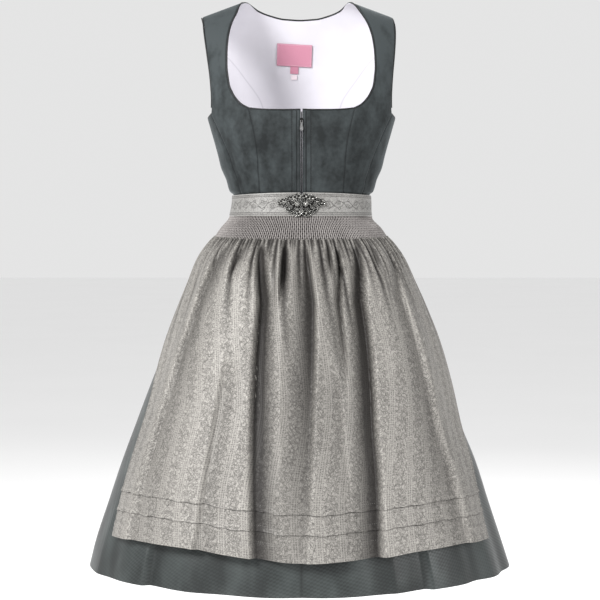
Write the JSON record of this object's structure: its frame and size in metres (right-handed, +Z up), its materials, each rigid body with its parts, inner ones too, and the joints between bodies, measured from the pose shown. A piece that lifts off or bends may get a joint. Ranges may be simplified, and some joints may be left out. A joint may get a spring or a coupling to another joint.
{
  "type": "dirndl",
  "caption": "Sleeveless dirndl as worn: fitted lined bodice with a low neckline and front zip, gathered skirt, and apron with smocked top, waistband and clasp.",
  "frame": {"origin": "midway between the shoulder straps at shoulder height, where the wearer holds the garment up", "axes": "+Z up, -Y out of the front, +X to the right of someone who looks at the front"},
  "size_m": [0.7519, 0.615, 1.002],
  "materials": {
    "velvet": "teal grey velvet with a short nap",
    "lining": "white plain lining with a slight lilac cast",
    "piping": "near black satin piping",
    "zip_tape": "dark woven zip tape with a metal chain",
    "zip_metal": "silver coloured cast metal",
    "waistband": "silver grey woven ribbon",
    "smocking": "grey jacquard in fine stitched gathers",
    "apron": "silver grey shiny jacquard with stripes of scrolls",
    "satin": "grey green satin with a tiny diamond weave",
    "clasp": "antique silver filigree",
    "label": "bare pink woven label"
  },
  "bodies": {
    "root": {"bodice_front_left": "velvet", "bodice_front_right": "velvet", "bodice_side_front_left": "velvet", "bodice_side_front_right": "velvet", "bodice_side_back_left": "velvet", "bodice_side_back_right": "velvet", "bodice_back": "velvet", "lining_front_left": "lining", "lining_front_right": "lining", "lining_side_front_left": "lining", "lining_side_front_right": "lining", "lining_side_back_left": "lining", "lining_side_back_right": "lining", "lining_back": "lining", "neck_piping": "piping", "armhole_piping_left": "piping", "armhole_piping_right": "piping", "zip_chain": "zip_tape", "zip_slider": "zip_metal", "waistband": "waistband", "apron_smocking": "smocking", "apron_panel": "apron", "skirt_front_left": "satin", "skirt_front_right": "satin", "skirt_back": "satin", "clasp_left": "clasp", "clasp_right": "clasp", "label": "label", "label_tab": "label"},
    "zip_pull": {"zip_pull": "zip_metal"}
  },
  "joints": [
    {"name": "zip_pull_hinge", "type": "hinge", "parent": "root", "child": "zip_pull", "pos_m": [0, -0.11597, -0.20519], "axis": [-1, 0, 0], "range_deg": [0, 165]}
  ]
}
